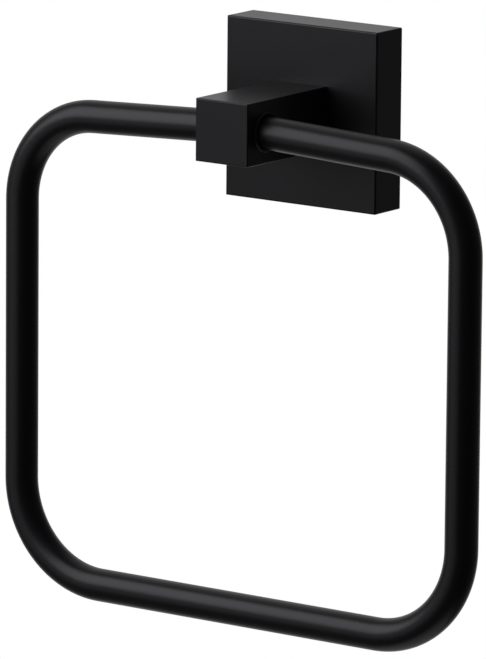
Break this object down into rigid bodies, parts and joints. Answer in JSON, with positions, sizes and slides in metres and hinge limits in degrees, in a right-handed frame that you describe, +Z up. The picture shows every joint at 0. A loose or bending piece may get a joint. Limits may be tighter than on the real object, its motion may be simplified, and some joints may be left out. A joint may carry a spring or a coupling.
{
  "type": "towel ring",
  "caption": "Square-cornered towel ring of bent round tube that hangs from a square post on a square wall cover plate and swings about the post.",
  "frame": {"origin": "centre of the cover plate's back, in the wall plane", "axes": "-Y points out of the wall into the room, +Z is up, +X is to the right for someone who faces the wall"},
  "size_m": [0.172, 0.0535, 0.1788],
  "materials": {
    "cover_plate": "matt black powder coat on die-cast zinc",
    "post": "matt black powder coat on die-cast zinc",
    "ring": "matt black powder coat on steel tube",
    "bush": "black nylon",
    "fixings": "zinc-plated steel",
    "bracket": "pressed stainless steel sheet",
    "grub_screw": "plain stainless steel"
  },
  "bodies": {
    "holder": {"cover_plate": "cover_plate", "post": "post", "bush_left": "bush", "bush_right": "bush", "post_screw": "fixings", "post_washer": "fixings", "wall_bracket": "bracket", "grub_screw": "grub_screw"},
    "ring": {"ring": "ring"}
  },
  "joints": [
    {"name": "ring_swing", "type": "hinge", "parent": "holder", "child": "ring", "pos_m": [0, -0.044, 0], "axis": [-1, 0, 0], "range_deg": [-15, 195]}
  ]
}
